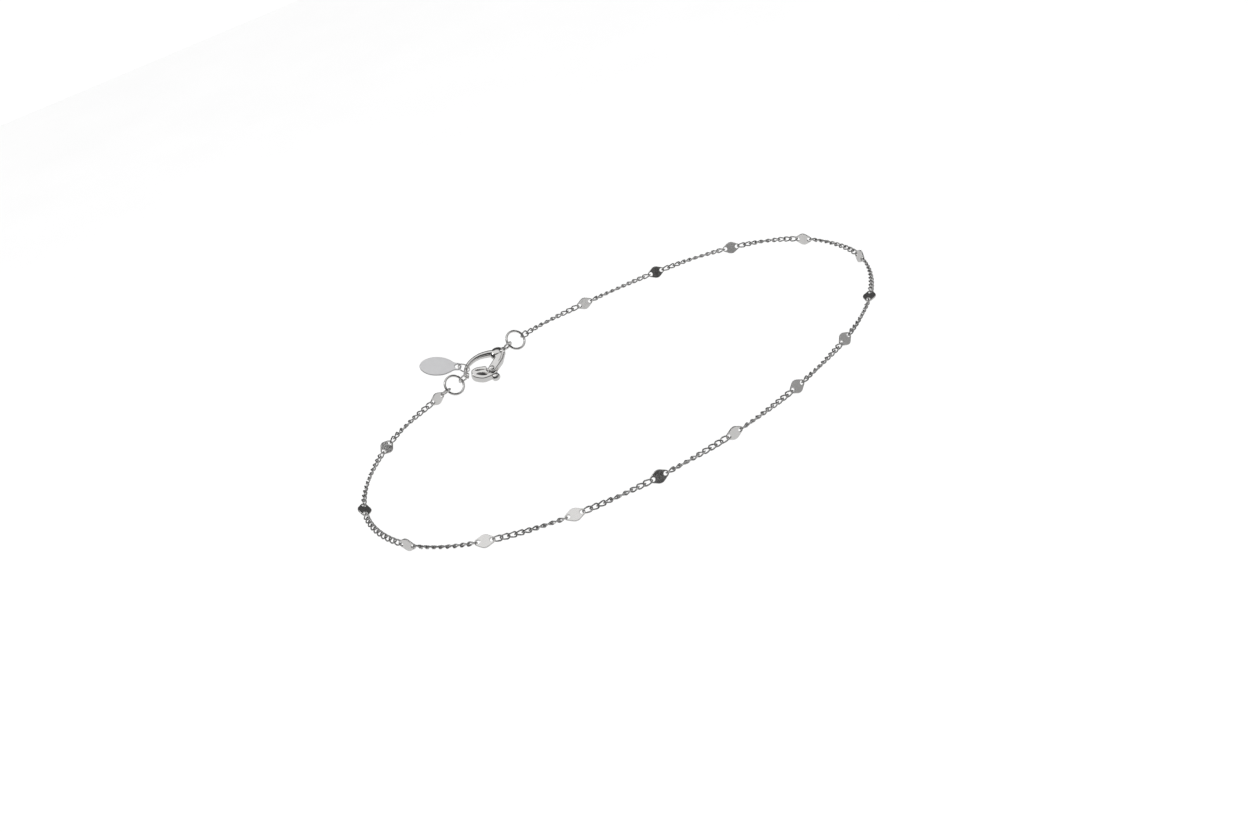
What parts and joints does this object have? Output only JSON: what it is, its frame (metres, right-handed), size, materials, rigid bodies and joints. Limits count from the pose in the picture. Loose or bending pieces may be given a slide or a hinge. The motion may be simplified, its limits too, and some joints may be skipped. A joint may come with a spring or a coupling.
{
  "type": "station bracelet",
  "caption": "Fine curb chain bracelet with small round flat discs set along it, a lobster clasp with a hinged lever, jump rings and a bare oval tag, held in its worn oval loop.",
  "frame": {"origin": "middle of the loop, in the plane of the chain, where the wrist goes through", "axes": "+X along the long way of the oval loop, +Z along the wrist, towards the side that the clasp's face and most of the visible disc faces lean to"},
  "size_m": [0.077, 0.0456, 0.0044],
  "materials": {
    "polished_silver": "polished silver",
    "brushed_silver": "lightly brushed silver"
  },
  "bodies": {
    "body": {"chain_01": "polished_silver", "chain_02": "polished_silver", "chain_03": "polished_silver", "chain_04": "polished_silver", "chain_05": "polished_silver", "chain_06": "polished_silver", "chain_07": "polished_silver", "chain_08": "polished_silver", "chain_09": "polished_silver", "chain_10": "polished_silver", "chain_11": "polished_silver", "chain_12": "polished_silver", "chain_13": "polished_silver", "chain_14": "polished_silver", "chain_15": "polished_silver", "chain_16": "polished_silver", "disc_01": "polished_silver", "disc_02": "polished_silver", "disc_03": "polished_silver", "disc_04": "polished_silver", "disc_05": "polished_silver", "disc_06": "polished_silver", "disc_07": "polished_silver", "disc_08": "polished_silver", "disc_09": "polished_silver", "disc_10": "polished_silver", "disc_11": "polished_silver", "disc_12": "polished_silver", "disc_13": "polished_silver", "disc_14": "polished_silver", "disc_15": "polished_silver", "disc_16": "polished_silver", "jump_ring": "polished_silver", "catch_ring": "polished_silver", "end_link": "polished_silver", "catch_link": "polished_silver", "clasp_body": "polished_silver", "clasp_pin": "polished_silver", "tag_ring": "polished_silver", "tag": "brushed_silver"},
    "lever": {"clasp_lever": "polished_silver"}
  },
  "joints": [
    {"name": "clasp_lever_hinge", "type": "hinge", "parent": "body", "child": "lever", "pos_m": [-0.01079, 0.01832, -0.00072], "axis": [-0.086, 0.4138, -0.9063], "range_deg": [0, 22], "stiffness_Nm_per_rad": 0.005, "springref_deg": -17.19}
  ]
}
